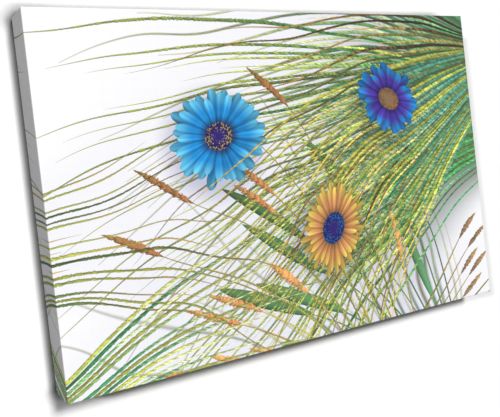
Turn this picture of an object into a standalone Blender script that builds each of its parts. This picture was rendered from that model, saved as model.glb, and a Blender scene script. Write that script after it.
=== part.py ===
"""A gallery-wrapped canvas print, for Blender 4.5.

One sheet of canvas is folded round a frame of four mitred pine stretcher bars and stapled behind.
Run it with: blender --background --python part.py

The frame stands as it hangs: +X to the right seen from the front, +Y towards the wall, +Z up.
The origin is on the underside of the top bar, where a wall hook carries the frame. All sizes are in metres.
"""

import math
import random

import bmesh
import bpy
from mathutils import Matrix, Vector

# The whole canvas, over the cloth.
WIDTH = 0.508
HEIGHT = 0.330
DEPTH = 0.038

# The cloth, and the room that is left between touching pieces.
CLOTH = 0.0005
GAP = 0.0003
HEM = 0.022
FOLD_RADIUS = 0.0018
CORNER_RISE = 0.0005
CORNER_START = 0.004

# The stretcher bars: the front slopes away from the cloth behind a bead along the outer edge.
BAR_WIDTH = 0.035
BEAD_WIDTH = 0.005
BEAD_HEIGHT = 0.004
BACK_ARRIS = 0.0012
ARC_STEPS = 4
SPARE = 0.001

# The hook that carries the top bar stands this far in front of the wall side.
HOOK_REACH = 0.008

# The staples: flat wire, bent square, driven through the hem.
STAPLES_ALONG = 7
STAPLES_UP = 5
STAPLE_CROWN = 0.0105
STAPLE_LEG = 0.0065
WIRE_WIDE = 0.0012
WIRE_THICK = 0.0006
STAPLE_INSET = 0.0125
END_INSET_ALONG = 0.070
END_INSET_UP = 0.040
CORNER_INSET = 0.031
STAPLE_TURN = math.radians(7)
SEED = 11

# Places that follow from them.
BACK_Y = HOOK_REACH
FRONT_Y = BACK_Y - DEPTH
SKIN = CLOTH + GAP
TOP_Z = BAR_WIDTH + SKIN
CENTRE = Vector((0, 0, TOP_Z - HEIGHT / 2))
BAR_FRONT = FRONT_Y + SKIN
BAR_BACK = BACK_Y - SKIN


def clear_scene():
    """Removes every object that the file opened with."""
    for obj in list(bpy.data.objects):
        bpy.data.objects.remove(obj)


def new_collection(name, shown=True):
    """A collection in the scene. One for cutters is left out of the render."""
    made = bpy.data.collections.new(name)
    made.hide_render = not shown
    bpy.context.scene.collection.children.link(made)
    return made


def new_material(name, colour, roughness, metallic=0.0):
    """A plain material with this colour and gloss."""
    made = bpy.data.materials.new(name)
    made.use_nodes = True
    shader = made.node_tree.nodes["Principled BSDF"]
    shader.inputs["Base Color"].default_value = (*colour, 1)
    shader.inputs["Roughness"].default_value = roughness
    shader.inputs["Metallic"].default_value = metallic
    return made


def new_object(name, mesh, collection, material=None):
    """An object that shows this mesh."""
    obj = bpy.data.objects.new(name, mesh)
    collection.objects.link(obj)
    if material:
        mesh.materials.append(material)
    else:
        obj.display_type = "WIRE"
        obj.hide_render = True
    return obj


def mesh_of(name, bm):
    """A new mesh from a bmesh, which is freed."""
    mesh = bpy.data.meshes.new(name)
    bm.to_mesh(mesh)
    bm.free()
    return mesh


def box(size, middle):
    """A bmesh box of this size round a point."""
    bm = bmesh.new()
    place = Matrix.Translation(middle) @ Matrix.Diagonal((*size, 1))
    bmesh.ops.create_cube(bm, size=1, matrix=place)
    return bm


def rounded_box(inset, radius):
    """The canvas's box taken in by inset, with its edges rounded."""
    middle = Vector((0, (FRONT_Y + BACK_Y) / 2, CENTRE.z))
    bm = box((WIDTH - 2 * inset, DEPTH - 2 * inset, HEIGHT - 2 * inset), middle)
    bmesh.ops.bevel(bm, geom=bm.edges[:], offset=radius, segments=ARC_STEPS, profile=0.5, affect="EDGES")
    return bm


def extruded_outline(points, half_length):
    """A closed mesh: the flat outline, extruded by half_length to each side of its own plane."""
    curve = bpy.data.curves.new("outline", "CURVE")
    curve.dimensions = "2D"
    curve.fill_mode = "BOTH"
    curve.extrude = half_length
    spline = curve.splines.new("POLY")
    spline.points.add(len(points) - 1)
    for point, (x, y) in zip(spline.points, points):
        point.co = (x, y, 0, 1)
    spline.use_cyclic_u = True
    carrier = bpy.data.objects.new("outline", curve)
    bpy.context.scene.collection.objects.link(carrier)
    graph = bpy.context.evaluated_depsgraph_get()
    bm = bmesh.new()
    bm.from_mesh(carrier.evaluated_get(graph).to_mesh())
    bpy.data.objects.remove(carrier)
    bpy.data.curves.remove(curve)
    bmesh.ops.remove_doubles(bm, verts=bm.verts, dist=GAP / 10)
    bmesh.ops.recalc_face_normals(bm, faces=bm.faces)
    return bm


def arc(middle, radius, start, end):
    """Points on an arc, from the angle start to end, in degrees."""
    angles = [math.radians(start + (end - start) * i / ARC_STEPS) for i in range(ARC_STEPS + 1)]
    return [(middle[0] + radius * math.cos(a), middle[1] + radius * math.sin(a)) for a in angles]


def add_boolean(obj, operation, operand):
    """A live Boolean modifier against one object or a collection."""
    made = obj.modifiers.new(operation.lower(), "BOOLEAN")
    made.operation = operation
    made.solver = "EXACT"
    if isinstance(operand, bpy.types.Collection):
        made.operand_type = "COLLECTION"
        made.collection = operand
    else:
        made.object = operand


def bar_outline(outer):
    """The bar's section: across it from the opening to outer, and from its front to its back.

    It stands out beyond the envelope that trims it, in front, outside and behind.
    """
    inner = outer - BAR_WIDTH
    return [
        (outer + SPARE, BAR_FRONT - SPARE),
        (outer + SPARE, BAR_BACK + SPARE),
        (inner + BACK_ARRIS, BAR_BACK + SPARE),
        *arc((inner + BACK_ARRIS, BAR_BACK - BACK_ARRIS), BACK_ARRIS, 90, 180),
        (inner, BAR_FRONT + BEAD_HEIGHT),
        (outer - BEAD_WIDTH, BAR_FRONT),
        (outer - BEAD_WIDTH, BAR_FRONT - SPARE),
    ]


def stretcher_bar(name, outward, across, along, parts, material, envelope, cutters):
    """One mitred bar. across and along are the frame's half sizes towards outward and along the bar."""
    bm = extruded_outline(bar_outline(across), along + 2 * SPARE)
    for side in (-1, 1):
        # The mitre runs at 45 degrees from the outer corner, taken back by half of the gap.
        normal = Vector((-1, 0, side)).normalized()
        corner = Vector((across, 0, side * along)) - normal * GAP / 2
        geometry = bm.verts[:] + bm.edges[:] + bm.faces[:]
        cut = bmesh.ops.bisect_plane(bm, geom=geometry, plane_co=corner, plane_no=normal, clear_outer=True)
        bmesh.ops.contextual_create(bm, geom=[g for g in cut["geom_cut"] if isinstance(g, bmesh.types.BMEdge)])
    depth = Vector((0, 1, 0))
    turn = Matrix((outward, depth, outward.cross(depth))).transposed().to_4x4()
    bm.transform(Matrix.Translation(CENTRE) @ turn)
    bmesh.ops.recalc_face_normals(bm, faces=bm.faces)
    bar = new_object(name, mesh_of(name, bm), parts, material)
    add_boolean(bar, "INTERSECT", envelope)
    add_boolean(bar, "DIFFERENCE", cutters)
    return bar


def canvas(parts, material, folds, cutters):
    """The sheet: the front, four sides, a hem over the backs of the bars, and the folded corners."""
    bm = rounded_box(0, FOLD_RADIUS)
    back = max(bm.faces, key=lambda face: face.calc_center_median().y)
    bmesh.ops.inset_region(bm, faces=[back], thickness=HEM - FOLD_RADIUS, use_even_offset=True)
    bmesh.ops.delete(bm, geom=[back], context="FACES")
    sheet = new_object("canvas", mesh_of("canvas", bm), parts, material)
    thicken = sheet.modifiers.new("cloth", "SOLIDIFY")
    thicken.thickness = CLOTH
    thicken.offset = -1
    thicken.use_even_offset = True
    add_boolean(sheet, "UNION", folds)
    add_boolean(sheet, "DIFFERENCE", cutters)
    return sheet


def corner_fold_path():
    """The way a folded corner's cloth runs: (y, drop, outward y, outward z) down the side and over the hem.

    drop is how far the point lies in from the canvas's top or bottom.
    """
    turn = BACK_Y - FOLD_RADIUS
    path = [(FRONT_Y + FOLD_RADIUS + CORNER_START, 0, 0, 1)]
    for i in range(ARC_STEPS + 1):
        angle = math.radians(90) * i / ARC_STEPS
        out_y, out_z = math.sin(angle), math.cos(angle)
        path.append((turn + FOLD_RADIUS * out_y, FOLD_RADIUS * (1 - out_z), out_y, out_z))
    path.append((BACK_Y, HEM, 1, 0))
    return path


def corner_fold(side_x, side_z):
    """The spare cloth of one corner, folded in two along the end of the top or bottom and of its hem."""
    bm = bmesh.new()
    rows = []
    for y, drop, out_y, out_z in corner_fold_path():
        # The hidden fold runs at 45 degrees from the front corner, and the seam at 45 over the hem.
        seam = FOLD_RADIUS + drop
        fold = y - FRONT_Y + drop
        row = []
        for across, lift in ((seam, -CLOTH / 2), (fold, -CLOTH / 2), (fold, CORNER_RISE), (seam, CORNER_RISE)):
            x = side_x * (WIDTH / 2 - across)
            z = side_z * (HEIGHT / 2 - drop + lift * out_z)
            row.append(bm.verts.new((x, y + lift * out_y, CENTRE.z + z)))
        rows.append(row)
    for row, following in zip(rows, rows[1:]):
        for i in range(4):
            bm.faces.new((row[i], row[(i + 1) % 4], following[(i + 1) % 4], following[i]))
    bm.faces.new(rows[0])
    bm.faces.new(rows[-1])
    bmesh.ops.recalc_face_normals(bm, faces=bm.faces)
    return bm


def staple_outline():
    """The staple seen from its side: the crown over the hem, with a leg at each end."""
    half = STAPLE_CROWN / 2
    top = BACK_Y + GAP + WIRE_THICK
    tip = BACK_Y - STAPLE_LEG
    bend = WIRE_THICK
    shoulders = [
        *arc((half - bend, top - bend), bend, 0, 90),
        *arc((-half + bend, top - bend), bend, 90, 180),
    ]
    inside = half - WIRE_THICK
    return [
        (half, tip),
        *shoulders,
        (-half, tip),
        (-inside, tip),
        (-inside, top - WIRE_THICK),
        (inside, top - WIRE_THICK),
        (inside, tip),
    ]


def staple_places():
    """(x, lift, z, turn) of every staple from the canvas's middle. The turn is about the depth axis."""
    scatter = random.Random(SEED)
    found = []
    for count, along, across, inset, turned in (
        (STAPLES_ALONG, WIDTH / 2, HEIGHT / 2, END_INSET_ALONG, 0.0),
        (STAPLES_UP, HEIGHT / 2, WIDTH / 2, END_INSET_UP, math.pi / 2),
    ):
        reach = along - inset
        for side in (-1, 1):
            for i in range(count):
                place = -reach + 2 * reach * i / (count - 1)
                line = side * (across - STAPLE_INSET)
                x, z = (line, place) if turned else (place, line)
                found.append((x, 0.0, z, turned + scatter.uniform(-STAPLE_TURN, STAPLE_TURN)))
    for side_x in (-1, 1):
        for side_z in (-1, 1):
            x = side_x * (WIDTH / 2 - CORNER_INSET)
            z = side_z * (HEIGHT / 2 - STAPLE_INSET)
            found.append((x, CORNER_RISE, z, scatter.uniform(-STAPLE_TURN, STAPLE_TURN)))
    return found


def staple_matrix(x, lift, z, turn):
    """Takes the flat outline, with its second axis as depth, to its place on the hem."""
    return Matrix.Translation(CENTRE + Vector((x, lift, z))) @ Matrix.Rotation(turn, 4, "Y")


def staple(number, place, parts, material):
    """One staple, at its place on the hem."""
    bm = extruded_outline(staple_outline(), WIRE_WIDE / 2)
    bm.transform(staple_matrix(*place))
    name = f"staple_{number:02d}"
    return new_object(name, mesh_of(name, bm), parts, material)


def leg_holes(number, place, cutters):
    """The two holes that the staple's legs make, with the gap all round."""
    bm = bmesh.new()
    top = BACK_Y + CLOTH
    tip = BACK_Y - STAPLE_LEG - GAP
    for side in (-1, 1):
        middle = Vector((side * (STAPLE_CROWN - WIRE_THICK) / 2, (top + tip) / 2, 0))
        size = (WIRE_THICK + 2 * GAP, top - tip, WIRE_WIDE + 2 * GAP)
        place_in = Matrix.Translation(middle) @ Matrix.Diagonal((*size, 1))
        bmesh.ops.create_cube(bm, size=1, matrix=place_in)
    bm.transform(staple_matrix(*place))
    name = f"leg_holes_{number:02d}"
    new_object(name, mesh_of(name, bm), cutters)


def build():
    """Builds the canvas print."""
    clear_scene()
    parts = new_collection("canvas_print")
    cutters = new_collection("leg_cutters", shown=False)
    folds = new_collection("corner_folds", shown=False)
    guides = new_collection("guides", shown=False)
    cloth = new_material("canvas", (0.93, 0.93, 0.92), 0.75)
    pine = new_material("pine", (0.72, 0.52, 0.31), 0.6)
    steel = new_material("staple_steel", (0.62, 0.62, 0.63), 0.35, 1.0)

    for number, place in enumerate(staple_places(), 1):
        leg_holes(number, place, cutters)
        staple(number, place, parts, steel)
    for name, side_x, side_z in (
        ("fold_top_left", -1, 1),
        ("fold_top_right", 1, 1),
        ("fold_bottom_left", -1, -1),
        ("fold_bottom_right", 1, -1),
    ):
        new_object(name, mesh_of(name, corner_fold(side_x, side_z)), folds)
    inside = mesh_of("frame_envelope", rounded_box(SKIN, FOLD_RADIUS - SKIN))
    envelope = new_object("frame_envelope", inside, guides)
    wide, high = WIDTH / 2 - SKIN, HEIGHT / 2 - SKIN
    right, up = Vector((1, 0, 0)), Vector((0, 0, 1))
    for name, outward, across, along in (
        ("stretcher_bar_top", up, high, wide),
        ("stretcher_bar_bottom", -up, high, wide),
        ("stretcher_bar_left", -right, wide, high),
        ("stretcher_bar_right", right, wide, high),
    ):
        stretcher_bar(name, outward, across, along, parts, pine, envelope, cutters)
    canvas(parts, cloth, folds, cutters)


build()
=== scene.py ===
"""The looks of a gallery-wrapped canvas print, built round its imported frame. All sizes are in metres."""

import logging
import math
from collections.abc import Callable, Iterator
from contextlib import contextmanager
from dataclasses import dataclass, field
from enum import Enum
from functools import cache, partialmethod

import bmesh
import bpy
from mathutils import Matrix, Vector, noise


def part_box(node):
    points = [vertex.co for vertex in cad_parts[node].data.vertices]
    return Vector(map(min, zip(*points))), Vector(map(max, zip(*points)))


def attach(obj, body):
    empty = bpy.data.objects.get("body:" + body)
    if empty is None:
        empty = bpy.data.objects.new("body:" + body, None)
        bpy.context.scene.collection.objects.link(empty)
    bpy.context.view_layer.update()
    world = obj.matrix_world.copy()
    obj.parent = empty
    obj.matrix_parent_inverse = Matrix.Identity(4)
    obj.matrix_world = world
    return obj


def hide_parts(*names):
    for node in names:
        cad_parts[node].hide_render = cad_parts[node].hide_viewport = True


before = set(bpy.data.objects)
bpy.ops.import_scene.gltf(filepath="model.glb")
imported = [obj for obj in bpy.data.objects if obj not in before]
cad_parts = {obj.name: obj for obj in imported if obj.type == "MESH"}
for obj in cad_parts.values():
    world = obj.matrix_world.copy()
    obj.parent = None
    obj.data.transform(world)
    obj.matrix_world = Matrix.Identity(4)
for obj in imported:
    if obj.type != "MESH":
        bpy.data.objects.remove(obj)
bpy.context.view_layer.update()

LOG = logging.getLogger("canvas_print")

Colour = tuple[float, float, float, float]
Point = tuple[float, float, float]
Range = tuple[float, float]
Tree = bpy.types.NodeTree
Piece = bpy.types.Object
Face = bmesh.types.BMFace

BLACK = (0.0, 0.0, 0.0, 1.0)

# The factors of a sum of two numbers and of its sine, whose fraction then looks random.
SCATTER = (12.9898, 78.233, 43758.5453)

# Where a Mix node keeps its share, its two colours and the blended colour.
MIX_SHARE, MIX_BELOW, MIX_ABOVE, MIX_RESULT = 0, 6, 7, 2


# --- Shader arithmetic -----------------------------------------------------


@dataclass(frozen=True)
class Signal:
    """A number, colour or vector that changes over a surface. Arithmetic on it adds Math nodes."""

    socket: bpy.types.NodeSocket

    @property
    def tree(self) -> Tree:
        """The shader tree that it is part of."""
        return self.socket.id_data

    def math(self, operation: str, *others: "Signal | float") -> "Signal":
        """What a Math node, such as "SINE", makes of this signal and the others."""
        return add("Math", dict(enumerate((self, *others))), operation=operation)

    # The sum, difference, product and quotient with another number. Then the number without its sign, the
    # whole number at or below it, the number or 0 where it is negative, and 1 where it is over another.
    __add__ = partialmethod(math, "ADD")
    __sub__ = partialmethod(math, "SUBTRACT")
    __mul__ = partialmethod(math, "MULTIPLY")
    __truediv__ = partialmethod(math, "DIVIDE")
    size = partialmethod(math, "ABSOLUTE")
    whole = partialmethod(math, "FLOOR")
    above_zero = partialmethod(math, "MAXIMUM", 0.0)
    over = partialmethod(math, "GREATER_THAN")

    def __rsub__(self, number: float) -> "Signal":
        """A number minus this."""
        return add("Math", {0: number, 1: self}, operation="SUBTRACT")

    def ranging(self, low: float, high: float) -> "Signal":
        """Takes 0 to low and 1 to high."""
        return self * (high - low) + low

    def between(self, low: "Signal | float", high: "Signal | float") -> "Signal":
        """Goes smoothly from 0 at low to 1 at high. Low may be the greater, which makes it a fall."""
        inputs = {"Value": self, "From Min": low, "From Max": high}
        # A smooth step stays between 0 and 1 without the node's clamp.
        return add("MapRange", inputs, "Result", interpolation_type="SMOOTHSTEP", clamp=False)

    def with_others(self) -> dict[str, "Signal"]:
        """All the outputs of the node that gives this one, by their labels."""
        return {socket.name: Signal(socket) for socket in self.socket.node.outputs}


def add(
    kind: str, inputs: dict, output: str | int = 0, tree: Tree | None = None, **settings: object
) -> Signal:
    """Adds a node to a shader tree.

    Args:
        kind: The node's type, which follows "ShaderNode" in its full name.
        inputs: Signals and plain values, by the labels or the numbers of the inputs.
        output: The label or the number of the output that is wanted.
        tree: The tree, where no input is a signal of it.
        settings: The node's own settings.

    Returns:
        The output.
    """
    tree = tree or next(value.tree for value in inputs.values() if isinstance(value, Signal))
    node = tree.nodes.new(f"ShaderNode{kind}")
    for name, setting in settings.items():
        setattr(node, name, setting)
    for label, value in inputs.items():
        feed(node.inputs[label], value)
    return Signal(node.outputs[output])


def feed(socket: bpy.types.NodeSocket, value: object) -> None:
    """Links a signal to an input, or sets a plain value on it."""
    if isinstance(value, Signal):
        value.tree.links.new(value.socket, socket)
    else:
        socket.default_value = value


def blend(share: object, below: object, above: object, **settings: object) -> Signal:
    """A share of one colour, from 0 to 1, over another."""
    inputs = {MIX_SHARE: share, MIX_BELOW: below, MIX_ABOVE: above}
    return add("Mix", inputs, MIX_RESULT, data_type="RGBA", **settings)


def lit(colour: object, light: Signal) -> Signal:
    """A colour times a light, which may be over 1."""
    return blend(light, BLACK, colour, clamp_factor=False)


def split(value: Signal, kind: str = "XYZ") -> tuple[Signal, Signal, Signal]:
    """The three numbers of a vector, or of a colour where the kind is "Color"."""
    return tuple(add(f"Separate{kind}", {0: value}).with_others().values())


def join(*numbers: Signal | float, tree: Tree | None = None) -> Signal:
    """A vector of these numbers."""
    return add("CombineXYZ", dict(enumerate(numbers)), tree=tree)


def own_place(tree: Tree) -> Signal:
    """Where each point lies on its own piece."""
    return add("TexCoord", {}, "Object", tree)


def turned_back(x: Signal, y: Signal, angle: Signal) -> tuple[Signal, Signal]:
    """A place on a plane, turned back by an angle about the plane's origin."""
    cosine, sine = angle.math("COSINE"), angle.math("SINE")
    return x * cosine + y * sine, y * cosine - x * sine


def length_of(x: Signal, y: Signal) -> Signal:
    """How far a place on a plane lies from the plane's origin."""
    return (x * x + y * y).math("SQRT")


def three_chances(number: Signal) -> tuple[Signal, Signal, Signal]:
    """Three random numbers from 0 to 1, the same wherever the given number is the same."""
    made = add("TexWhiteNoise", {"W": number}, noise_dimensions="1D").with_others()
    red, green, blue = split(made["Color"], "Color")
    # Value and red are the same number. Both are read, because an output that nothing reads stays in memory.
    return made["Value"].math("MAXIMUM", red), green, blue


def chance(first: Signal, second: Signal | float) -> Signal:
    """One random number from 0 to 1 for each pair of whole numbers."""
    return ((first * SCATTER[0] + second * SCATTER[1]).math("SINE") * SCATTER[2]).math("FRACT")


def cloud(vector: object, scale: float, detail: float = 2.0, output: str = "Fac") -> Signal:
    """Soft noise from 0 to 1, or three of them where the output is "Color"."""
    return add("TexNoise", {"Vector": vector, "Scale": scale, "Detail": detail}, output)


@dataclass
class Effect:
    """A shader node group in the making. The labels of its inputs and outputs tell what kind they are."""

    name: str
    inputs: tuple[str, ...]
    outputs: tuple[str, ...]

    VECTORS = ("Vector", "Pith")
    COLOURS = ("Color", "ink", "wood")

    def __post_init__(self) -> None:
        """Makes the group's tree and sockets."""
        self.tree = bpy.data.node_groups.new(self.name, "ShaderNodeTree")
        for direction, labels in (("INPUT", self.inputs), ("OUTPUT", self.outputs)):
            for label in labels:
                kind = "Color" if label.endswith(self.COLOURS) else "Float"
                kind = "Vector" if label in self.VECTORS else kind
                self.tree.interface.new_socket(label, in_out=direction, socket_type=f"NodeSocket{kind}")
        self.start = self.tree.nodes.new("NodeGroupInput")
        self.end = self.tree.nodes.new("NodeGroupOutput")

    def read(self, label: str) -> Signal:
        """One of the group's inputs."""
        return Signal(self.start.outputs[label])

    def give(self, **values: Signal) -> None:
        """Sends signals to the group's outputs."""
        for label, value in values.items():
            feed(self.end.inputs[label], value)


def place(group: Tree, values: dict[str, object]) -> dict[str, Signal]:
    """Places a group where its inputs, signals and plain values, come from, and gives its outputs."""
    return add("Group", values, node_tree=group).with_others()


def linear(red: int, green: int, blue: int) -> Colour:
    """A screen colour from 0 to 255, as the linear values that shaders take."""
    shares = [value / 255 for value in (red, green, blue)]
    made = [s / 12.92 if s <= 0.04045 else ((s + 0.055) / 1.055) ** 2.4 for s in shares]
    return (*made, 1.0)


# --- The printed meadow ----------------------------------------------------


class Ink(Enum):
    """The print's colours."""

    PAPER = linear(247, 247, 247)
    LAVENDER = linear(204, 204, 228)
    DUSK = linear(150, 150, 190)
    LIME = linear(192, 200, 92)
    PALE = linear(212, 212, 150)
    OLIVE = linear(118, 118, 68)
    MOSS = linear(96, 124, 72)
    EMERALD = linear(70, 152, 96)
    TEAL = linear(78, 142, 124)
    FERN = linear(86, 134, 92)
    SHADE = linear(50, 78, 48)
    OCHRE = linear(178, 140, 76)
    BROWN = linear(124, 100, 74)
    UMBER = linear(64, 50, 38)
    COPPER = linear(200, 138, 88)
    GOLD = linear(214, 186, 88)
    INDIGO = linear(42, 30, 104)
    VIOLET = linear(70, 52, 150)
    CYAN = linear(28, 130, 196)
    SKY = linear(96, 186, 220)


@dataclass(frozen=True)
class Motif:
    """A motif of the print. Each input of its group has a field of that name. Angles are in degrees."""

    ANGLES = ("Heading", "Spread", "Turn")
    HERE = ("X", "Y")

    def values(self, group: Tree) -> dict[str, object]:
        """The values for a group's inputs, apart from the place that is coloured."""
        found = {}
        for socket in group.interface.items_tree:
            if socket.in_out == "INPUT" and socket.name not in self.HERE:
                value = getattr(self, socket.name.lower().replace(" ", "_"))
                if isinstance(value, Ink):
                    value = value.value
                found[socket.name] = math.radians(value) if socket.name in self.ANGLES else value
        return found


@dataclass(frozen=True)
class Spray(Motif):
    """A fan of grass blades that bend away from one root. The root is on the print, from its middle."""

    root_x: float
    root_y: float
    heading: float
    spread: float
    count: int
    reach: float
    width: float
    bend: float
    seed: int
    root_ink: Ink
    body_ink: Ink
    other_ink: Ink
    tip_ink: Ink
    opening: float = 0.4
    wander: float = 0.02
    unevenness: float = 0.45
    softness: float = 0.0003
    barbs: float = 0.62
    thicket: float = 0.0
    ear_length: float = 0.0001
    ear_width: float = 0.0
    ear_ink: Ink = Ink.COPPER


@dataclass(frozen=True)
class Blossom(Motif):
    """A round flower head. Its centre is on the print, from its middle."""

    centre_x: float
    centre_y: float
    radius: float
    turn: float
    squash: float
    petals: int
    petal_width: float
    heart: float
    seed: int
    base_ink: Ink
    petal_ink: Ink
    tip_ink: Ink
    heart_ink: Ink
    pollen_ink: Ink


@dataclass(frozen=True)
class BladeArt:
    """How the blades of every spray are drawn: lanes fan out from a root, and each holds one blade."""

    barbs_per_metre: float = 640.0
    barb_slant: float = 560.0
    fibres_per_metre: float = 1050.0
    fibre_light: float = 0.13
    drifts_per_metre: float = 9.0
    upward_drift: float = 0.7
    stray: float = 0.36
    bow: float = 0.4
    root_share: float = 0.25
    full_from: Range = (-0.1, 0.5)
    widths: Range = (0.7, 1.3)
    finest_half: float = 0.00008
    ear_fullness: float = 0.8
    kept_at_rim: float = 0.15
    body_from: float = 0.45
    other_body: Range = (0.35, 0.65)
    ear_tip: Range = (-0.6, 1.8)
    crown_light: float = 1.08
    roundness: float = 0.5
    side_light: float = 0.3
    lights: Range = (0.53, 1.53)
    fleck_colour: float = 0.4
    fleck_light: float = 1.4
    fan_edge: Range = (0.6, 0.3)
    haze_end: Range = (1.05, 0.35)
    thicket_end: Range = (0.62, 0.2)

    FAN = ("X", "Y", "Root X", "Root Y", "Heading", "Spread", "Reach", "Bend", "Opening")
    BLADE = ("Count", "Width", "Wander", "Unevenness", "Softness", "Seed", "Barbs", "Ear length", "Ear width")
    INKS = ("Root ink", "Body ink", "Other ink", "Tip ink", "Ear ink")

    def drift(self, x: Signal, y: Signal, seed: Signal, size: Signal) -> tuple[Signal, Signal]:
        """A place, shifted smoothly so that long lines wander a little. Each seed has its own shifts."""
        noise_here = cloud(join(x, y, seed), self.drifts_per_metre, 0.0, "Color")
        red, green, blue = split(noise_here, "Color")
        return x + (red - 0.5) * size, y + (green + blue - 1.0) * size * self.upward_drift

    def place_in_fan(self, made: Effect, x: Signal, y: Signal) -> tuple[Signal, ...]:
        """Where a place lies in a spray's fan.

        Args:
            made: The group that draws the spray.
            x: The first number of the place.
            y: The second.

        Returns:
            The distance from the root, how far the fan has opened there, the bearing, and 1 well inside it.
        """
        read = made.read
        x, y = turned_back(x - read("Root X"), y - read("Root Y"), read("Heading"))
        distance = length_of(x, y)
        opened = distance * read("Opening") + 1.0
        bearing = (y.math("ARCTAN2", x) - distance * read("Bend")) / opened
        outside, inside = (read("Spread") * share for share in self.fan_edge)
        return distance, opened, bearing, bearing.size().between(outside, inside)

    def haze_group(self) -> Tree:
        """The group for the faint shade that a spray throws on the paper."""
        made = Effect("haze", self.FAN, ("Veil",))
        distance, _, _, within = self.place_in_fan(made, made.read("X"), made.read("Y"))
        made.give(Veil=within * (distance / made.read("Reach")).between(*self.haze_end))
        return made.tree

    def blades_group(self) -> Tree:
        """The group that draws a spray."""
        made = Effect("grass_blades", self.FAN + self.BLADE + self.INKS, ("Color", "Mask", "Thicket"))
        read = made.read
        x, y = self.drift(read("X"), read("Y"), read("Seed"), read("Wander"))
        distance, opened, bearing, within = self.place_in_fan(made, x, y)
        pitch = read("Spread") / read("Count")
        lane = bearing / pitch
        number = lane.whole()
        first, second, third = three_chances(number + read("Seed"))

        length = (1.0 - first * read("Unevenness")) * read("Reach")
        along = distance / length
        bow = (third - 0.5) * self.bow * along * along
        across = lane - number - 0.5 - (second - 0.5) * self.stray - bow
        off_axis = across.size() * distance * opened * pitch

        # Short barbs slant forward on both sides of each blade, and no two are alike.
        barb = distance * self.barbs_per_metre - off_axis * self.barb_slant + across.math("SIGN") * 0.5
        fleck = (chance(number + read("Seed"), barb.whole()) - 0.5) * read("Barbs")
        ragged = fleck + 1.0
        taper = (1.0 - along * along * along).above_zero()
        swell = along.between(*self.full_from).ranging(self.root_share, 1.0)
        blade = taper * swell * ragged * read("Width") * 0.5 * second.ranging(*self.widths)
        half_ear = read("Ear length") * 0.5
        place_in_ear = (distance - length + half_ear) / half_ear
        ear = (1.0 - place_in_ear * place_in_ear).above_zero().math("POWER", self.ear_fullness)
        ear = ear * read("Ear width") * 0.5 * ragged
        half = blade.math("MAXIMUM", ear)

        soft = read("Softness")
        rim = (number + 0.5) * pitch / (read("Spread") * 0.5)
        kept = (rim * rim).math("LESS_THAN", second.ranging(self.kept_at_rim, 1.0))
        mask = off_axis.between(half + soft, half - soft) * kept * half.over(self.finest_half)

        body = blend(third.between(*self.other_body), read("Body ink"), read("Other ink"))
        colour = blend(along.between(0.0, self.body_from), read("Root ink"), body)
        tipped = (along + fleck * self.fleck_colour).between(self.body_from, 1.0)
        colour = blend(tipped, colour, read("Tip ink"))
        ear_colour = blend(place_in_ear.between(*self.ear_tip), read("Ear ink"), read("Tip ink"))
        colour = blend(ear.over(blade), colour, ear_colour)
        edge = (off_axis / half).math("MINIMUM", 1.0)
        side = across.math("SIGN") * edge * self.side_light
        rounding = self.crown_light - edge * edge * self.roundness - side
        light = rounding * first.ranging(*self.lights) * (fleck * self.fleck_light + 1.0)
        fibre = (off_axis * (math.tau * self.fibres_per_metre) + third * 9.0).math("SINE")
        drawn = lit(colour, light * (fibre * self.fibre_light + 1.0))
        thicket = within * (distance / read("Reach")).between(*self.thicket_end)
        made.give(Color=drawn, Mask=mask, Thicket=thicket)
        return made.tree


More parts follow.
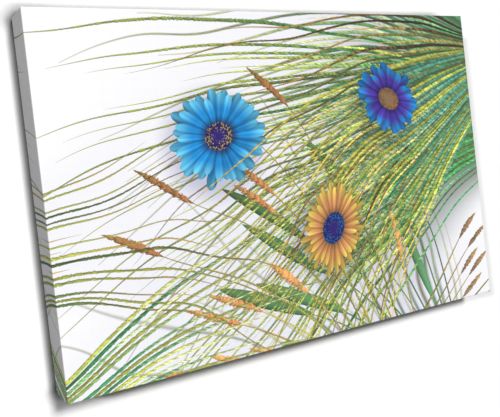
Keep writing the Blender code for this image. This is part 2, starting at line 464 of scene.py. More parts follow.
@dataclass(frozen=True)
class BlossomArt:
    """How every blossom is drawn: rings of petals, from the back to the front, round a heart of stamens."""

    rings: tuple[Range, ...] = ((1.0, 0.66), (0.9, 1.06))
    spots_per_metre: float = 520.0
    petal_edge: float = 0.0003
    shortening: float = 0.2
    stray: float = 0.16
    lean: float = 0.2
    shoulder: float = 0.62
    veins: tuple[Point, ...] = ((42.0, 7.0, 0.07), (13.0, 9.0, 0.09))
    edge_shade: float = 0.32
    crease_width: float = 0.22
    crease_light: float = 0.3
    side_light: float = 0.35
    lights: Range = (0.76, 1.16)
    base_end: Range = (0.16, 0.52)
    tip_from: Range = (0.6, 1.0)
    stamen_edge: Range = (0.55, 0.2)
    pollen_from: Range = (0.2, 0.8)
    heart_lights: Range = (0.55, 1.15)
    heart_edge: Range = (1.06, 0.94)
    shade_from_heart: Range = (0.9, 1.7)
    veil_edge: Range = (1.12, 0.62)
    veil_shift: Range = (-0.006, -0.008)

    SHAPE = ("Centre X", "Centre Y", "Radius", "Turn", "Squash", "Petals", "Petal width", "Heart", "Seed")
    INKS = ("Base ink", "Petal ink", "Tip ink", "Heart ink", "Pollen ink")

    def petals(self, made: Effect, distance: Signal, angle: Signal, layer: int) -> tuple[Signal, Signal]:
        """Draws one ring of petals.

        Args:
            made: The group that draws the blossom.
            distance: How far out the place is, where 1 is the blossom's radius.
            angle: Its bearing from the centre, in turns.
            layer: The number of the ring.

        Returns:
            The ring's colour and its mask.
        """
        read = made.read
        reach, brightness = self.rings[layer]
        lane = angle * read("Petals") + (0.5 * layer + 0.25)
        number = lane.whole()
        petal = number.math("FLOORED_MODULO", read("Petals"))
        first, second, third = three_chances(petal + read("Seed") + 40.0 * layer)
        along = distance / (reach - first * self.shortening)
        across = lane - number - 0.5 - (second - 0.5) * self.stray - (third - 0.5) * self.lean * along
        rounding = (along - self.shoulder).above_zero() / (1.0 - self.shoulder)
        half = (1.0 - rounding * rounding).above_zero().math("SQRT") * read("Petal width")
        lane_width = distance * read("Radius") * math.tau / read("Petals")
        gap = (half - across.size()) * lane_width
        mask = gap.between(-self.petal_edge, self.petal_edge) * half.over(0.01)
        broad, fine = (
            (across * rate + shift * phase).math("SINE") * depth
            for (rate, phase, depth), shift in zip(self.veins, (first, second))
        )
        edge = (across.size() / (half + 0.001)).math("MINIMUM", 1.0)
        crease = (across - 0.1).size().between(self.crease_width, 0.0) * self.crease_light
        cupped = crease - across * self.side_light
        colour = blend(along.between(*self.base_end), read("Base ink"), read("Petal ink"))
        colour = blend(along.between(*self.tip_from), colour, read("Tip ink"))
        light = brightness - edge * edge * edge * self.edge_shade + cupped
        light = light * second.ranging(*self.lights) * (broad + fine + 1.0)
        return lit(colour, light), mask

    def group(self) -> Tree:
        """The group that draws a blossom."""
        made = Effect("blossom", Motif.HERE + self.SHAPE + self.INKS, ("Color", "Mask", "Veil"))
        read = made.read
        from_x, from_y = read("X") - read("Centre X"), read("Y") - read("Centre Y")
        x, y = turned_back(from_x, from_y, read("Turn"))
        local = join(x, y, 0.0)
        y = y / read("Squash")
        distance = length_of(x, y) / read("Radius")
        angle = y.math("ARCTAN2", x) / math.tau
        back, back_mask = self.petals(made, distance, angle, 0)
        front, front_mask = self.petals(made, distance, angle, 1)
        petals = blend(front_mask, back, front)

        spots = add("TexVoronoi", {"Vector": local, "Scale": self.spots_per_metre}, "Distance")
        ring = distance / read("Heart")
        pollen = spots.between(*self.stamen_edge) * ring.between(*self.pollen_from)
        heart = blend(pollen, read("Heart ink"), read("Pollen ink"))
        heart = lit(heart, ring.between(1.1, 0.1).ranging(*self.heart_lights))
        petals = lit(petals, ring.between(*self.shade_from_heart).ranging(0.5, 1.0))
        in_heart = ring.between(*self.heart_edge)
        drawn = blend(in_heart, petals, heart)
        mask = back_mask.math("MAXIMUM", front_mask).math("MAXIMUM", in_heart)
        right, up = self.veil_shift
        veil = (length_of(from_x - right, from_y - up) / read("Radius")).between(*self.veil_edge)
        made.give(Color=drawn, Mask=mask, Veil=veil)
        return made.tree


@dataclass(frozen=True)
class Meadow:
    """The generic picture on the canvas: long grasses, leaves, ears and three blossoms."""

    haze: float = 0.17
    blossom_shade: float = 0.55

    # From the back to the front, with the fields of a Spray or a Blossom in order.
    LAYERS = {
        "far blades": Spray(
            0.16, -0.46, 106, 70, 44, 0.58, 0.0044, 0.5, 11, Ink.OLIVE, Ink.OLIVE, Ink.TEAL, Ink.PALE,
            wander=0.06, unevenness=0.5, softness=0.0020, barbs=0.25,
        ),
        "high sweep": Spray(
            0.40, 0.06, 148, 68, 84, 0.66, 0.0042, 0.7, 131, Ink.MOSS, Ink.EMERALD, Ink.FERN, Ink.PALE,
            unevenness=0.55, softness=0.0008, barbs=0.35, thicket=0.6,
        ),
        "leaves": Spray(
            0.20, -0.32, 118, 84, 18, 0.46, 0.0022, 0.9, 48, Ink.OLIVE, Ink.MOSS, Ink.EMERALD, Ink.MOSS,
            barbs=0.03, ear_length=0.11, ear_width=0.014, ear_ink=Ink.FERN,
        ),
        "green sweep": Spray(
            0.42, 0.03, 174, 48, 100, 0.72, 0.0042, 0.6, 31, Ink.OLIVE, Ink.EMERALD, Ink.MOSS, Ink.LIME,
            opening=0.3, thicket=0.85,
        ),
        "brown blades": Spray(
            0.36, 0.12, 180, 60, 40, 0.58, 0.0034, 0.7, 23, Ink.UMBER, Ink.UMBER, Ink.OLIVE, Ink.OCHRE,
            opening=0.5, wander=0.03, unevenness=0.6, softness=0.0004,
        ),
        "copper ears": Spray(
            0.14, -0.34, 112, 74, 24, 0.50, 0.0024, 0.9, 71, Ink.MOSS, Ink.OLIVE, Ink.LIME, Ink.OCHRE,
            opening=0.5, barbs=0.6, ear_length=0.06, ear_width=0.0075,
        ),
        "left blades": Spray(
            -0.36, -0.09, 34, 50, 22, 0.38, 0.0027, -1.2, 107, Ink.OLIVE, Ink.LIME, Ink.MOSS, Ink.OCHRE,
            wander=0.07, unevenness=0.8,
        ),
        "blue blossom": Blossom(
            -0.086, 0.046, 0.058, 20, 0.86, 20, 0.47, 0.26, 5,
            Ink.INDIGO, Ink.CYAN, Ink.SKY, Ink.INDIGO, Ink.GOLD,
        ),
        "teal sweep": Spray(
            0.38, 0.12, 190, 44, 46, 0.60, 0.0038, 0.8, 57, Ink.MOSS, Ink.TEAL, Ink.LIME, Ink.GOLD,
            opening=0.3,
        ),
        "violet blossom": Blossom(
            0.128, 0.072, 0.048, -30, 0.8, 16, 0.46, 0.3, 15,
            Ink.INDIGO, Ink.VIOLET, Ink.CYAN, Ink.BROWN, Ink.COPPER,
        ),
        "right blades": Spray(
            0.06, -0.34, 62, 50, 20, 0.44, 0.0032, -1.2, 83, Ink.UMBER, Ink.OLIVE, Ink.MOSS, Ink.OCHRE,
            ear_length=0.045, ear_width=0.006, ear_ink=Ink.BROWN,
        ),
        "lime blades": Spray(
            -0.36, -0.24, 30, 46, 34, 0.46, 0.0032, -0.9, 91, Ink.OLIVE, Ink.LIME, Ink.EMERALD, Ink.PALE,
            opening=0.5,
        ),
        "copper blossom": Blossom(
            0.035, -0.058, 0.054, 60, 0.75, 24, 0.42, 0.32, 25,
            Ink.BROWN, Ink.COPPER, Ink.GOLD, Ink.INDIGO, Ink.CYAN,
        ),
    }

    @cache
    def group(self) -> Tree:
        """The whole picture: its Color at each place on the print."""
        made = Effect("meadow", Motif.HERE, ("Color",))
        here = {label: made.read(label) for label in Motif.HERE}
        haze, blades, blossom = BladeArt().haze_group(), BladeArt().blades_group(), BlossomArt().group()
        # Each group is placed just before its colours are used, because a renderer holds few values at once.
        picture = Ink.PAPER.value
        for layer in self.LAYERS.values():
            if isinstance(layer, Spray):
                veil = place(haze, {**here, **layer.values(haze)})["Veil"]
                picture = blend(veil * self.haze, picture, Ink.LAVENDER.value)
        for layer in self.LAYERS.values():
            art = blades if isinstance(layer, Spray) else blossom
            drawn = place(art, {**here, **layer.values(art)})
            if isinstance(layer, Blossom):
                shade = drawn["Veil"] * self.blossom_shade
                picture = blend(shade, picture, Ink.DUSK.value, blend_type="MULTIPLY")
            elif layer.thicket:
                picture = blend(drawn["Thicket"] * layer.thicket, picture, Ink.SHADE.value)
            picture = blend(drawn["Mask"], picture, drawn["Color"])
        made.give(Color=picture)
        return made.tree


# --- Finishes --------------------------------------------------------------


@dataclass(frozen=True)
class Weave:
    """Plain weave: threads that pass over and under each other."""

    sways_per_metre: float = 160.0
    sway: float = 0.9
    height_lights: Range = (0.95, 1.01)
    thread_lights: Range = (0.98, 1.0)

    @cache
    def group(self) -> Tree:
        """The weave's node group. Its Vector lies flat on the cloth."""
        made = Effect("weave", ("Vector", "Pitch"), ("Height", "Shade"))
        pitch = made.read("Pitch")
        x, y, _ = split(made.read("Vector"))
        sway = (cloud(made.read("Vector"), self.sways_per_metre) - 0.5) * self.sway
        warp, weft = x / pitch + sway, y / pitch + sway
        warp_round, weft_round = ((thread * math.pi).math("SINE").size() for thread in (warp, weft))
        turn_over = (warp.whole() + weft.whole()).math("FLOORED_MODULO", 2.0)
        over = warp_round * weft_round.ranging(0.5, 1.0)
        under = weft_round * warp_round.ranging(0.5, 1.0)
        height = over * turn_over + under * (1.0 - turn_over)
        # Shade: painted shade that darkens the colour where the threads lie low, between them, times a random
        # tone for each thread.
        thick = chance(warp.whole(), 3.0) + chance(weft.whole(), 7.0)
        shade = height.ranging(*self.height_lights) * thick.ranging(*self.thread_lights)
        made.give(Height=height, Shade=shade)
        return made.tree


@dataclass(frozen=True)
class PineGrain:
    """Planed pine, with the grain along X. Each noise has its rates along and across it, and its detail."""

    drift: Point = (2.2, 9.0, 3.0)
    fibre: Point = (25.0, 900.0, 2.0)
    streak: Point = (4.0, 160.0, 2.0)
    drift_size: float = 0.024
    late_from: Range = (0.35, 0.92)
    late_to: Range = (1.0, 0.95)
    late_shade: float = 0.62
    fibre_shade: float = 0.5
    streak_shade: float = 0.55
    shades: Range = (-0.15, 0.95)
    late_height: float = 0.4
    roughness: Range = (0.52, 0.67)

    @cache
    def group(self) -> Tree:
        """The grain's node group: growth rings, fibres and streaks."""
        labels = ("Vector", "Pith", "Ring", "Early wood", "Late wood")
        made = Effect("pine_grain", labels, ("Color", "Height", "Roughness"))
        read = made.read
        wood, pith = split(read("Vector")), split(read("Pith"))
        x, y, z = (there - core for there, core in zip(wood, pith))
        drift, fibre, streak = (
            cloud(join(x * along, y * across, z * across), 1.0, detail)
            for along, across, detail in (self.drift, self.fibre, self.streak)
        )
        rings = (length_of(y, z) + drift * self.drift_size) / read("Ring")
        part = rings - rings.whole()
        late = part.between(*self.late_from) * part.between(*self.late_to)
        shade = late * self.late_shade + (fibre - 0.5) * self.fibre_shade + (streak - 0.5) * self.streak_shade
        made.give(
            Color=blend(shade.between(*self.shades), read("Early wood"), read("Late wood")),
            Height=fibre * (1.0 - self.late_height) + late * self.late_height,
            Roughness=fibre.ranging(*self.roughness),
        )
        return made.tree


def bumps(height: Signal, depth: float) -> Signal:
    """The normal of a surface with a height from 0 to 1, where 1 stands the depth above 0, in metres."""
    return add("Bump", {"Distance": depth, "Height": height})


@dataclass(frozen=True)
class Finish:
    """A finish. Its inputs method gives what its shader takes, by the labels of the shader's inputs."""

    name: str

    def material(self) -> bpy.types.Material:
        """Makes the finish."""
        made = bpy.data.materials.new(self.name)
        made.use_nodes = True
        tree = made.node_tree
        for label, value in self.inputs(tree).items():
            feed(tree.nodes["Principled BSDF"].inputs[label], value)
        return made


@dataclass(frozen=True)
class Cloth(Finish):
    """Cotton canvas. Its weave and print follow the cloth's own flat map."""

    colour: Colour
    pitch: float
    weave_depth: float = 0.00004
    roughness: float = 0.78
    specular: float = 0.25
    half_size: Range = (0.254, 0.165)
    printed: bool = False
    print_end: Range = (0.0456, 0.0464)
    mottles_per_metre: float = 13.0
    mottle_edge: Range = (0.3, 0.7)
    mottling: float = 0.1
    slubs_along: float = 55.0
    slubs_across: float = 1100.0
    slub_edge: Range = (0.6, 0.74)
    slub_light: float = 0.07

    def inputs(self, tree: Tree) -> dict[str, object]:
        """Its colour with the weave's painted shade between the threads, its sheen and the bumps of its
        weave.
        """
        flat = add("UVMap", {}, "UV", tree, uv_map=CanvasSheet.FLAT_MAP)
        weave = place(Weave().group(), {"Vector": flat, "Pitch": self.pitch})
        colour = self.print_over(flat) if self.printed else self.unbleached(flat)
        return {
            "Base Color": blend(1.0, colour, weave["Shade"], blend_type="MULTIPLY"),
            "Roughness": self.roughness,
            "Specular IOR Level": self.specular,
            "Normal": bumps(weave["Height"], self.weave_depth),
        }

    def unbleached(self, flat: Signal) -> Signal:
        """Bare cotton: soft mottling, and pale slubs that run along the threads of both ways."""
        x, y, _ = split(flat)
        fine, long = self.slubs_across, self.slubs_along
        one_way, other_way = (
            cloud(join(x * right, y * up, start), 1.0, 1.0).between(*self.slub_edge)
            for right, up, start in ((fine, long, 0.0), (long, fine, 5.0))
        )
        mottle = cloud(flat, self.mottles_per_metre, 3.0).between(*self.mottle_edge)
        light = one_way.math("MAXIMUM", other_way) * self.slub_light - mottle * self.mottling + 1.0
        return lit(self.colour, light)

    def print_over(self, flat: Signal) -> Signal:
        """The picture, mirrored over the sides, and bare primed cloth past the print's end on the hem."""
        x, y, _ = split(flat)
        mirrored, beyond = {}, []
        for axis, along, half in zip("XY", (x, y), self.half_size):
            mirrored[axis] = (along + half).math("PINGPONG", 2 * half) - half
            beyond.append(along.size() - half)
        picture = place(Meadow().group(), mirrored)["Color"]
        past = beyond[0].math("MAXIMUM", beyond[1])
        return blend(past.between(*self.print_end), picture, self.colour)


@dataclass(frozen=True)
class Pine(Finish):
    """Planed bare pine, with its grain along one bar."""

    along: str
    pith: Point
    ring: float = 0.0036
    early: Colour = linear(232, 203, 160)
    late: Colour = linear(190, 140, 88)
    grain_depth: float = 0.0001

    def inputs(self, tree: Tree) -> dict[str, object]:
        """Its colour, its sheen and the bumps of its grain."""
        where = own_place(tree)
        if self.along == "Z":
            x, y, z = split(where)
            where = join(z, y, x)
        wood = {"Pith": self.pith, "Ring": self.ring, "Early wood": self.early, "Late wood": self.late}
        grain = place(PineGrain().group(), {"Vector": where, **wood})
        normal = bumps(grain["Height"], self.grain_depth)
        return {"Base Color": grain["Color"], "Roughness": grain["Roughness"], "Normal": normal}


@dataclass(frozen=True)
class StapleWire(Finish):
    """Galvanised steel wire, bright with a little dulling."""

    name: str = "galvanised_wire"
    bright: Colour = linear(205, 207, 210)
    dull: Colour = linear(150, 153, 158)
    patches_per_metre: float = 420.0
    patch_edge: Range = (0.35, 0.7)
    roughness: Range = (0.2, 0.5)

    def inputs(self, tree: Tree) -> dict[str, object]:
        """Bright metal with duller patches."""
        patches = cloud(own_place(tree), self.patches_per_metre, 3.0)
        colour = blend(patches.between(*self.patch_edge), self.bright, self.dull)
        return {"Base Color": colour, "Roughness": patches.ranging(*self.roughness), "Metallic": 1.0}


# --- The canvas ------------------------------------------------------------


def packed(start: str) -> list[str]:
    """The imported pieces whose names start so."""
    return [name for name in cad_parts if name.startswith(start)]


@contextmanager
def editing(piece: Piece) -> Iterator[None]:
    """Opens a piece in edit mode, with nothing selected, and closes it again."""
    bpy.ops.object.select_all(action="DESELECT")
    piece.select_set(True)
    bpy.context.view_layer.objects.active = piece
    bpy.ops.object.mode_set(mode="EDIT")
    bpy.ops.mesh.select_mode(type="FACE")
    bpy.ops.mesh.select_all(action="DESELECT")
    yield
    bpy.ops.object.mode_set(mode="OBJECT")


def pick_faces(piece: Piece, test: Callable[[Face], bool]) -> None:
    """Selects, in edit mode, the faces that pass a test, and no others."""
    bpy.ops.mesh.select_all(action="DESELECT")
    mesh = bmesh.from_edit_mesh(piece.data)
    for face in mesh.faces:
        face.select_set(test(face))
    bmesh.update_edit_mesh(piece.data)


def smooth_step(value: float) -> float:
    """Goes smoothly from 0 at 0 to 1 at 1."""
    kept = min(max(value, 0.0), 1.0)
    return kept * kept * (3 - 2 * kept)


def waves(point: Vector, per_metre: float, seed: float) -> float:
    """Soft noise from -1 to 1, over the width and height."""
    return noise.noise(Vector((point.x * per_metre, seed, point.z * per_metre)))


class Side(Enum):
    """A stretch of the folded sheet, with the way that it faces across the canvas."""

    FRONT = (0, 0)
    LEFT = (-1, 0)
    RIGHT = (1, 0)
    TOP = (0, 1)
    BOTTOM = (0, -1)


@dataclass
class CanvasSheet:
    """The one sheet of cloth: the front, four sides, folded corners and a hem behind."""

    width: float = 0.508
    height: float = 0.330
    depth: float = 0.038
    cloth: float = 0.00045
    hem: float = 0.022
    fold_radius: float = 0.0009
    fold_steps: int = 4
    top: float = 0.0358
    back: float = 0.008
    corner_rise: float = 0.0005
    seam_width: float = 0.0005
    hidden_fold_width: float = 0.003
    panel: float = 0.0125
    close_lines: tuple[float, ...] = (0.0023, 0.005, 0.009, 0.013, 0.0175)
    side_lines: int = 9
    edge_cuts: int = 3
    fraying: float = 0.0005
    frays_per_metre: float = 310.0
    at_cut: float = 0.999
    pucker: float = 0.0006
    puckers_per_metre: float = 46.0
    staple_hold: float = 0.009
    slack: float = 0.00012
    slacks_per_metre: float = 14.0
    taut_edge: float = 0.03
    bake_margin: float = 0.006
    smooth_below: float = 40.0
    printed_pitch: float = 0.000414
    raw_pitch: float = 0.000458
    raw_colour: Colour = linear(222, 214, 196)

    FLAT_MAP = "flat_cloth"
    BAKE_MAP = "OFBake"
    DIAGONAL = 0.7071
    TINY = 1e-5

    def __post_init__(self) -> None:
        """Works out the places that follow from the sizes."""
        self.front = self.back - self.depth
        self.middle = Vector((0, (self.front + self.back) / 2, self.top - self.height / 2))
        self.half = (self.width / 2, self.height / 2)
        skirt = self.depth + self.hem
        self.flat_size = (self.width + 2 * skirt, self.height + 2 * skirt)

    def inset(self, point: Vector, side: Side) -> float:
        """How far a point lies in from the outside of one of the four sides."""
        x, z = side.value
        offset = point - self.middle
        return (self.half[0] if x else self.half[1]) - (offset.x * x + offset.z * z)

    def inner(self, point: Vector) -> float:
        """How far a point lies in from the nearest of the four sides."""
        return min(self.inset(point, side) for side in Side if side is not Side.FRONT)

    def path(self, point: Vector, side: Side) -> float:
        """How far a point of a side lies from the front edge, along the cloth. It is negative in front."""
        radius, inset = self.fold_radius, self.inset(point, side)
        quarter = math.pi / 2
        if point.y < self.front + radius:
            rise = math.atan2(radius - inset, self.front + radius - point.y)
            return radius * (2 * rise / quarter - 1)
        if point.y > self.back - radius:
            if inset > radius:
                return self.depth + inset
            rise = math.atan2(point.y - self.back + radius, radius - inset)
            return self.depth + radius * (2 * rise / quarter - 1)
        return point.y - self.front

    def side_of(self, middle: Vector, normal: Vector) -> Side:
        """The stretch of the sheet that a face belongs to, from its middle and the way it faces."""
        if normal.y < -self.DIAGONAL:
            return Side.FRONT
        sides = (Side.LEFT, Side.RIGHT, Side.TOP, Side.BOTTOM)
        if normal.y > self.DIAGONAL:
            return min(sides, key=lambda side: self.inset(middle, side))
        return max(sides, key=lambda side: Vector((normal.x, normal.z)).dot(side.value))

    def folded_box(self) -> Piece:
        """The front, sides and hem, with rounded folds."""
        bpy.ops.object.select_all(action="DESELECT")
        bpy.ops.mesh.primitive_cube_add(size=1, location=self.middle)
        sheet = bpy.context.active_object
        sheet.name = "printed_canvas"
        sheet.scale = (self.width, self.depth, self.height)
        bpy.ops.object.transform_apply(location=True, rotation=False, scale=True)
        with editing(sheet):
            bpy.ops.mesh.select_all(action="SELECT")
            bpy.ops.mesh.bevel(offset=self.fold_radius, segments=self.fold_steps, profile=0.5)
            pick_faces(sheet, lambda face: face.calc_center_median().y > self.back - self.TINY)
            bpy.ops.mesh.inset(thickness=self.hem - self.fold_radius)
            bpy.ops.mesh.delete(type="FACE")
        return sheet

    def score(self, sheet: Piece) -> None:
        """Cuts the lines that let the cloth bend: a grid over all of it, and the folds of the corners."""
        lines = []
        for axis, half in zip((Vector((1, 0, 0)), Vector((0, 0, 1))), self.half):
            inner = half - self.close_lines[-1]
            steps = round(2 * inner / self.panel)
            places = [-inner + 2 * inner * i / steps for i in range(steps + 1)]
            places += [end * (half - line) for line in self.close_lines[:-1] for end in (-1, 1)]
            lines += [(self.middle + axis * place, axis) for place in places]
        straight = self.depth - 2 * self.fold_radius
        for i in range(1, self.side_lines + 1):
            y = self.front + self.fold_radius + straight * i / (self.side_lines + 1)
            lines.append((Vector((0, y, 0)), Vector((0, 1, 0))))
        with editing(sheet):
            for point, normal in lines:
                bpy.ops.mesh.select_all(action="SELECT")
                bpy.ops.mesh.bisect(plane_co=point, plane_no=normal)
            for end in (-1, 1):
                for edge in (-1, 1):
                    self.score_corner(sheet, end, edge)
            last_row = self.close_lines[-1] + self.TINY
            pick_faces(sheet, lambda f: f.normal.y > 0.5 and self.inner(f.calc_center_median()) > last_row)
            bpy.ops.mesh.subdivide(number_cuts=self.edge_cuts)

    def score_corner(self, sheet: Piece, end: int, edge: int) -> None:
        """Cuts the hidden fold of one corner down its side and over its hem, and the seam on the hem.

        Args:
            sheet: The sheet, in edit mode.
            end: -1 for the left end, 1 for the right.
            edge: -1 for the bottom, 1 for the top.
        """
        corner = self.middle + Vector((end * self.half[0], 0, edge * self.half[1]))
        corner.y = self.front
        reach = self.depth + self.hem + self.hidden_fold_width

        def cut(on_hem: bool, inward: float, normal: Point) -> None:
            def here(face: Face) -> bool:
                middle = face.calc_center_median()
                near = abs(middle.x - corner.x) < reach and (corner.z - middle.z) * edge < self.hem
                return near and (face.normal.y if on_hem else abs(face.normal.z)) > 0.5

            pick_faces(sheet, here)
            bpy.ops.mesh.bisect(plane_co=corner + Vector((-end * inward, 0, 0)), plane_no=normal)

        for shift in (0, self.hidden_fold_width / 2, self.hidden_fold_width):
            cut(False, shift, (end, 1, 0))
            cut(True, self.depth + shift, (end, 0, -edge))
        cut(True, self.seam_width, (end, 0, -edge))

    def write_flat_map(self, sheet: Piece) -> None:
        """Stores where each point lies on the flat sheet, in metres from its middle."""
        mesh = sheet.data
        layer = mesh.uv_layers.new(name=self.FLAT_MAP)
        for face in mesh.polygons:
            side = self.side_of(face.center, face.normal)
            for loop in face.loop_indices:
                point = mesh.vertices[mesh.loops[loop].vertex_index].co
                offset = point - self.middle
                flat = [offset.x, offset.z]
                if side is not Side.FRONT:
                    axis = 0 if side.value[0] else 1
                    flat[axis] = side.value[axis] * (self.half[axis] + self.path(point, side))
                layer.data[loop].uv = flat

    def write_bake_map(self, sheet: Piece) -> None:
        """Lays the flat sheet out on one square image: the printed side large, the raw side small above."""
        mesh = sheet.data
        flat = mesh.uv_layers[self.FLAT_MAP].data
        made = mesh.uv_layers.new(name=self.BAKE_MAP).data
        wide, high = self.flat_size
        scale = (1 - 2 * self.bake_margin) / wide
        used = high * scale + 2 * self.bake_margin
        small = (1 - used - self.bake_margin) / high
        for face in mesh.polygons:
            size, up = (small, used) if face.material_index else (scale, self.bake_margin)
            for loop in face.loop_indices:
                x, y = flat[loop].uv
                made[loop].uv = (self.bake_margin + (x + wide / 2) * size, up + (y + high / 2) * size)

    def lift(self, point: Vector) -> float:
        """How far the folded corners stand above the single cloth."""
        side = Side.TOP if point.z > self.middle.z else Side.BOTTOM
        inset = self.inset(point, side)
        behind = point.y > self.back - self.fold_radius
        if inset > self.hem + self.fraying or (inset > self.fold_radius and not behind):
            return 0.0
        from_end = self.half[0] - abs(point.x - self.middle.x)
        start = inset if behind else 0.0
        seam = (from_end - max(start, self.fold_radius)) / self.seam_width
        hidden = (self.path(point, side) - from_end) / self.hidden_fold_width
        return self.corner_rise * min(max(seam, 0.0), 1.0) * smooth_step(hidden + 1)

    def settle(self, sheet: Piece) -> None:
        """Lifts the folded corners, and gives the cloth slack, a hem that swells, and a frayed cut."""
        mesh = sheet.data
        staples = [sum(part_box(name), Vector()) / 2 for name in packed("staple_")]
        moves = []
        for vertex in mesh.vertices:
            point = vertex.co
            move = vertex.normal * self.lift(point)
            inner = self.inner(point)
            if point.y < self.front + self.TINY:
                ease = smooth_step(inner / self.taut_edge)
                move.y += self.slack * ease * waves(point, self.slacks_per_metre, 3)
            elif point.y > self.back - self.TINY:
                across = inner / self.hem
                held = min((point - staple).length for staple in staples)
                wave = max(0.5 + waves(point, self.puckers_per_metre, 9), 0)
                move.y += self.pucker * across * across * wave * smooth_step(held / self.staple_hold - 1)
                if across > self.at_cut:
                    inward = (self.middle - point).normalized()
                    inward.y = 0
                    move += inward * self.fraying * waves(point, self.frays_per_metre, 5)
            moves.append(move)
        for vertex, move in zip(mesh.vertices, moves):
            vertex.co += move

    def thicken(self, sheet: Piece) -> None:
        """Gives the sheet the cloth's thickness, with bare cloth on its inside and its cut."""
        modifier = sheet.modifiers.new("cloth", "SOLIDIFY")
        modifier.thickness = self.cloth
        modifier.offset = -1
        modifier.use_even_offset = True
        modifier.material_offset = 1
        modifier.material_offset_rim = 1
        bpy.context.view_layer.objects.active = sheet
        bpy.ops.object.modifier_apply(modifier=modifier.name)

    def model(self) -> None:
        """Makes the sheet and dresses it."""
        sheet = self.folded_box()
        self.score(sheet)
        self.write_flat_map(sheet)
        self.settle(sheet)
        printed = Cloth("printed_cloth", Ink.PAPER.value, self.printed_pitch, printed=True)
        raw = Cloth("raw_cloth", self.raw_colour, self.raw_pitch)
        for cloth in (printed, raw):
            sheet.data.materials.append(cloth.material())
        self.thicken(sheet)
        self.write_bake_map(sheet)
        bpy.ops.object.shade_smooth_by_angle(angle=math.radians(self.smooth_below))
        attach(sheet, "root")
        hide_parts("canvas")
        LOG.info("%s: %d faces", sheet.name, len(sheet.data.polygons))


# --- The stretcher and its staples -----------------------------------------


@dataclass(frozen=True)
class Stretcher:
    """The four pine bars and the staples in them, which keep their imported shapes."""

    bars: dict[str, Pine] = field(default_factory=lambda: {
        "stretcher_bar_top": Pine("pine_top", "X", (0.02, -0.055, 0.06)),
        "stretcher_bar_bottom": Pine("pine_bottom", "X", (-0.3, 0.05, -0.33)),
        "stretcher_bar_left": Pine("pine_left", "Z", (0.1, -0.05, -0.19)),
        "stretcher_bar_right": Pine("pine_right", "Z", (-0.2, 0.06, 0.29)),
    })

    def dress(self) -> None:
        """Gives the bars their grain and the staples their steel."""
        finishes = {name: pine.material() for name, pine in self.bars.items()}
        wire = StapleWire().material()
        finishes.update(dict.fromkeys(packed("staple_"), wire))
        for name, material in finishes.items():
            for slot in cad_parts[name].material_slots:
                slot.material = material
            LOG.info("%s: %s", name, material.name)


# --- The studio ------------------------------------------------------------


@dataclass(frozen=True)
class Lamp:
    """A soft lamp that is so far away that its light comes from one direction."""

    name: str
    comes_from: Point
    strength: float
    softness: float

    def switch_on(self) -> None:
        """Puts the lamp into the scene."""
        data = bpy.data.lights.new(self.name, "SUN")
        data.energy = self.strength
        data.angle = math.radians(self.softness)
        lamp = bpy.data.objects.new(self.name, data)
        lamp.rotation_euler = Vector(self.comes_from).to_track_quat("Z", "Y").to_euler()
        bpy.context.scene.collection.objects.link(lamp)


@dataclass(frozen=True)
class ContactShade:
    """A soft shade painted into a wall's colour close beside an object, from light that the object keeps off
    on one side.

    Beyond holds an axis of the wall and a place on it. The shade is full past that place and grows over the
    fade before it. A negative fade turns this round, so that the shade is full below the place.
    """

    lit_from: Point
    reach: float
    depth: float = 1.0
    beyond: tuple[int, float] | None = None
    fade: float = 0.002
    samples: int = 8

    def over(self, colour: Signal) -> Signal:
        """Paints shade into a wall's colour where the object is within reach."""
        inputs = {"Distance": self.reach, "Normal": join(*self.lit_from, tree=colour.tree)}
        open_sky = add("AmbientOcclusion", inputs, "AO", samples=self.samples)
        shaded = lit(colour, open_sky.math("POWER", self.depth))
        if self.beyond is None:
            return shaded
        axis, edge = self.beyond
        where = split(own_place(colour.tree))[axis]
        return blend(where.between(edge - self.fade, edge), colour, shaded)


@dataclass(frozen=True)
class RoomPaint(Finish):
    """Matt white paint, seen from the room only, so that lamps and the camera can be behind it."""

    name: str = "room_paint"
    white: Colour = (0.9, 0.9, 0.9, 1.0)
    grey: Colour = (0.8, 0.8, 0.8, 1.0)
    greying: float = 0.03
    patches_per_metre: float = 3.0
    patch_edge: Range = (0.2, 0.8)
    roughness: float = 0.9
    contact_shades: tuple[ContactShade, ...] = (
        # Shade painted into the wall's colour: all round the canvas, above its top edge and below its lower
        # edge.
        ContactShade((0.0, -1.0, 0.0), 0.008, 2.4),
        ContactShade((0.0, -0.35, -0.94), 0.016, 2.2, (1, 0.0358), 0.02),
        ContactShade((0.3, -0.35, 0.89), 0.013, 1.5, (1, -0.2945), -0.012),
    )

    def inputs(self, tree: Tree) -> dict[str, object]:
        """White with faint patches, and the contact shades painted over it."""
        tone = cloud(own_place(tree), self.patches_per_metre).between(*self.patch_edge)
        colour = blend(tone * self.greying, self.white, self.grey)
        for shade in self.contact_shades:
            colour = shade.over(colour)
        return {"Base Color": colour, "Roughness": self.roughness, "Specular IOR Level": 0.0}

    def material(self) -> bpy.types.Material:
        """Makes the finish, and clears it away from behind and for all rays but the camera's."""
        made = super().material()
        tree = made.node_tree
        back = add("NewGeometry", {}, "Backfacing", tree)
        seen = add("LightPath", {}, "Is Camera Ray", tree)
        matt = Signal(tree.nodes["Principled BSDF"].outputs[0])
        clear = add("BsdfTransparent", {}, tree=tree)
        mixed = add("MixShader", {0: back.math("MAXIMUM", 1.0 - seen), 1: matt, 2: clear})
        feed(tree.nodes["Material Output"].inputs["Surface"], mixed)
        return made


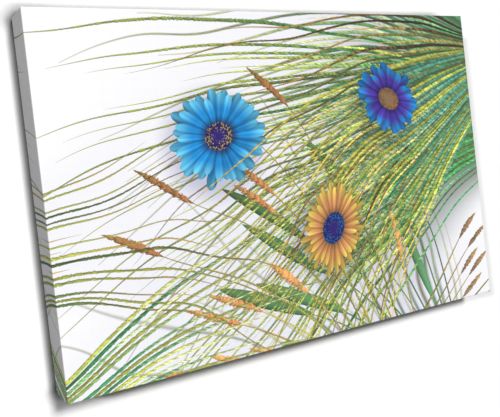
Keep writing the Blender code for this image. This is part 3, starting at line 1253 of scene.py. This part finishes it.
@dataclass(frozen=True)
class Studio:
    """The wall that the canvas hangs on, the floor, the lights and the camera."""

    wall_y: float = 0.0098
    floor_z: float = -1.30
    extent: float = 8.0
    lens: float = 48.98
    nearest: float = 0.01
    camera_place: Point = (-0.38323, -0.60002, -0.11986)
    camera_turn: Point = (88.829, 6.497, -29.866)
    shift: Range = (-0.00146, -0.04554)
    fill: float = 0.05
    backdrop: float = 0.8
    gloss: float = 0.6
    lamps: tuple[Lamp, ...] = (
        Lamp("key", (0.108, -1.0, 0.45), 2.9, 13.0),
        Lamp("side", (-1.28, -1.0, 0.45), 1.26, 5.0),
        Lamp("rear", (0.45, 1.0, 0.75), 2.2, 20.0),
        Lamp("under", (0.1, 0.3, -1.0), 1.0, 20.0),
    )

    def set_camera(self) -> None:
        """Sets the camera at the photograph's viewing angle."""
        data = bpy.data.cameras.new("camera")
        data.lens = self.lens
        data.sensor_width = 36
        data.shift_x, data.shift_y = self.shift
        data.clip_start = self.nearest
        camera = bpy.data.objects.new("camera", data)
        camera.location = self.camera_place
        camera.rotation_euler = [math.radians(angle) for angle in self.camera_turn]
        bpy.context.scene.collection.objects.link(camera)
        bpy.context.scene.camera = camera

    def build_room(self) -> None:
        """Stands the wall behind the canvas and lays the floor below it."""
        paint = RoomPaint().material()
        for name, middle, turned_by in (
            ("wall", (0, self.wall_y, 0), (math.pi / 2, 0, 0)),
            ("floor", (0, self.wall_y - self.extent / 2, self.floor_z), (0, 0, 0)),
        ):
            bpy.ops.object.select_all(action="DESELECT")
            bpy.ops.mesh.primitive_plane_add(size=self.extent, location=middle, rotation=turned_by)
            plane = bpy.context.active_object
            plane.name = name
            plane.data.materials.append(paint)
            LOG.info("%s: %s", name, paint.name)

    def light(self) -> None:
        """Switches the lamps on, under a sky that fills in faintly but looks pale."""
        scene = bpy.context.scene
        scene.view_settings.view_transform = "Standard"
        scene.world = bpy.data.worlds.new("studio")
        scene.world.use_nodes = True
        tree = scene.world.node_tree
        rays = add("LightPath", {}, tree=tree).with_others()
        shown = rays["Is Camera Ray"] * self.backdrop + rays["Is Glossy Ray"] * self.gloss
        sky = tree.nodes["Background"].inputs
        sky["Color"].default_value = (1, 1, 1, 1)
        feed(sky["Strength"], shown + self.fill)
        for lamp in self.lamps:
            lamp.switch_on()


def main() -> None:
    """Builds the canvas print and the studio round it."""
    logging.basicConfig(level=logging.INFO, format="%(message)s")
    studio = Studio()
    studio.set_camera()
    studio.build_room()
    studio.light()
    CanvasSheet().model()
    Stretcher().dress()


if __name__ == "__main__":
    main()
